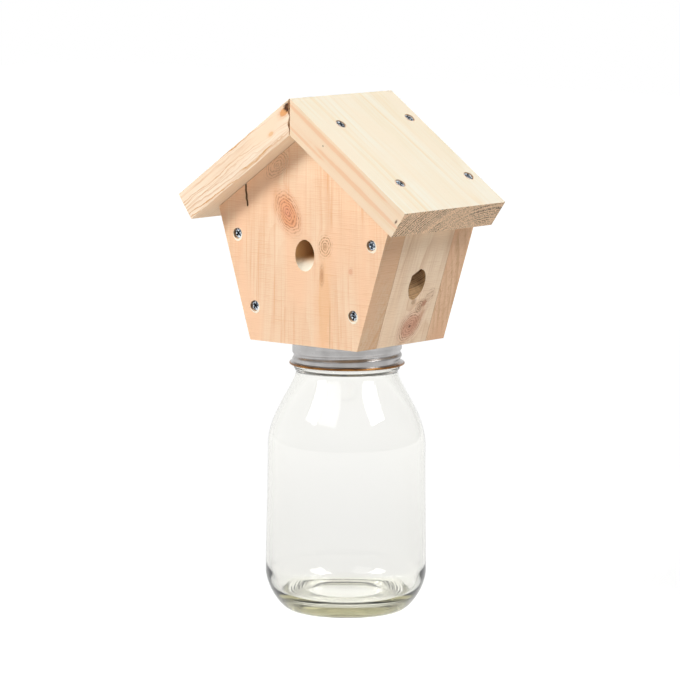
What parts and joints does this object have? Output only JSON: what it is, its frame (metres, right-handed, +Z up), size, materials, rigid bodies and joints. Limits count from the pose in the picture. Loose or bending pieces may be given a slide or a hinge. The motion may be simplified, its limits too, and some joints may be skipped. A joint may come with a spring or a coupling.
{
  "type": "carpenter bee trap",
  "caption": "Gable-roofed pine house with slanted entry bores, screwed by a metal jar band onto a clear glass collecting jar.",
  "frame": {"origin": "middle of the footprint, on the surface that the jar stands on", "axes": "+Z up; the front panel and its entry face -Y; +X to the right when the front panel is faced; the jar's axis is the line x = 0, y = 3.05 mm"},
  "size_m": [0.1892, 0.1112, 0.3371],
  "materials": {
    "pine": "planed bare pine, vertical grain, faint saw marks and a few knots, no varnish",
    "roof_pine": "planed bare pine, pale cream with broad soft grain, speckled end grain at the eaves",
    "zinc_screw": "bright zinc plated steel with a cross recess",
    "tinplate": "satin tinplate, rolled thread, thin gold lacquer at the curled edge",
    "lacquered_tin": "tinplate with a thin gold lacquer, half gloss",
    "sealing_compound": "grey moulded sealing ring, matt",
    "jar_glass": "clear pressed glass, smooth, faint ripples in the base"
  },
  "bodies": {
    "jar": {"glass_jar": "jar_glass"},
    "house": {"front_panel": "pine", "back_panel": "pine", "left_side_panel": "pine", "right_side_panel": "pine", "floor_board": "pine", "left_roof_board": "roof_pine", "right_roof_board": "roof_pine", "front_panel_screw_lower_left": "zinc_screw", "front_panel_screw_lower_right": "zinc_screw", "front_panel_screw_upper_left": "zinc_screw", "front_panel_screw_upper_right": "zinc_screw", "back_panel_screw_lower_left": "zinc_screw", "back_panel_screw_lower_right": "zinc_screw", "back_panel_screw_upper_left": "zinc_screw", "back_panel_screw_upper_right": "zinc_screw", "left_roof_screw_upper_front": "zinc_screw", "left_roof_screw_upper_back": "zinc_screw", "left_roof_screw_lower_front": "zinc_screw", "left_roof_screw_lower_back": "zinc_screw", "right_roof_screw_upper_front": "zinc_screw", "right_roof_screw_upper_back": "zinc_screw", "right_roof_screw_lower_front": "zinc_screw", "right_roof_screw_lower_back": "zinc_screw", "lid_disc": "lacquered_tin", "lid_seal": "sealing_compound", "lid_screw_1": "zinc_screw", "lid_screw_2": "zinc_screw", "lid_screw_3": "zinc_screw", "lid_screw_4": "zinc_screw"},
    "band": {"screw_band": "tinplate"}
  },
  "joints": [
    {"name": "house_lift", "type": "slide", "parent": "jar", "child": "house", "axis": [0, 0, 1], "range_m": [0, 0.02032]},
    {"name": "band_turn", "type": "hinge", "parent": "house", "child": "band", "pos_m": [0, 0.00305, 0.169], "axis": [0, 0, 1], "range_deg": [-1, 1441]}
  ],
  "couplings": [
    {"joint": "band_turn", "follows": "house_lift", "rad_per_m": 1236.8}
  ]
}
